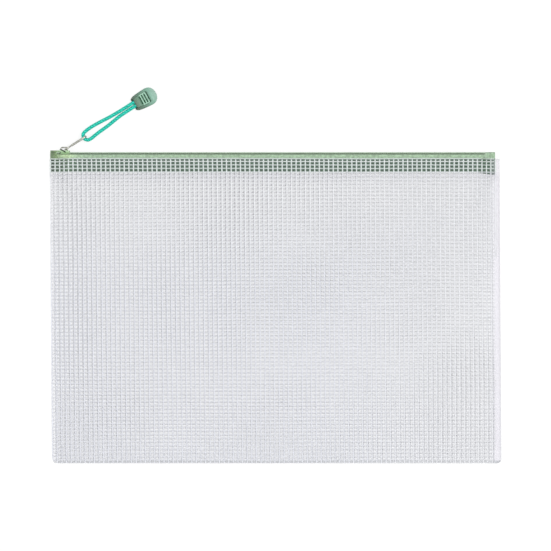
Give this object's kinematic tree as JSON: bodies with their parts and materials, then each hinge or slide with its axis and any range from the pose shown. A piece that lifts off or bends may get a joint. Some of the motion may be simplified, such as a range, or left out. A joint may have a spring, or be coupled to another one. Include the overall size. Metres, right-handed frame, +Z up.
{
  "type": "file bag",
  "caption": "Flat clear mesh document bag with a green coil zip along the top edge, slider, wire pull, looped cord and ribbed end piece.",
  "frame": {"origin": "on the underside of the back sheet, half way along the bag and half way between the zip's crest and the bottom edge", "axes": "+X along the zip from the slider's shut end, +Y out of the zipped edge, +Z up from the table through the front sheet"},
  "size_m": [0.34, 0.2837, 0.01],
  "materials": {
    "mesh_sheet": "translucent film over a white grid",
    "zip_tape": "woven, matt",
    "zip_coil": "nylon, soft shine",
    "slider_paint": "painted casting",
    "nickel": "nickel plate",
    "cord": "braided polyester",
    "tag": "satin moulding"
  },
  "bodies": {
    "bag": {"front_panel": "mesh_sheet", "back_panel": "mesh_sheet", "front_zip_tape": "zip_tape", "back_zip_tape": "zip_tape", "front_coil": "zip_coil", "back_coil": "zip_coil"},
    "slider": {"slider_body": "slider_paint", "slider_bail": "nickel"},
    "pull": {"pull": "nickel"},
    "cord_end": {"pull_cord": "cord", "tag_base": "tag", "tag_cover": "tag"}
  },
  "joints": [
    {"name": "slider_slide", "type": "slide", "parent": "bag", "child": "slider", "axis": [1, 0, 0], "range_m": [0, 0.31], "deforming": ["front_coil", "back_coil"]},
    {"name": "pull_hinge", "type": "hinge", "parent": "slider", "child": "pull", "pos_m": [-0.1584, 0.1192, 0.005], "axis": [0, 0, 1], "range_deg": [-10, 95]},
    {"name": "cord_swivel", "type": "hinge", "parent": "pull", "child": "cord_end", "pos_m": [-0.1445, 0.1281, 0.005], "axis": [0, 0, 1], "range_deg": [-18, 45], "deforming": ["pull_cord"]}
  ]
}
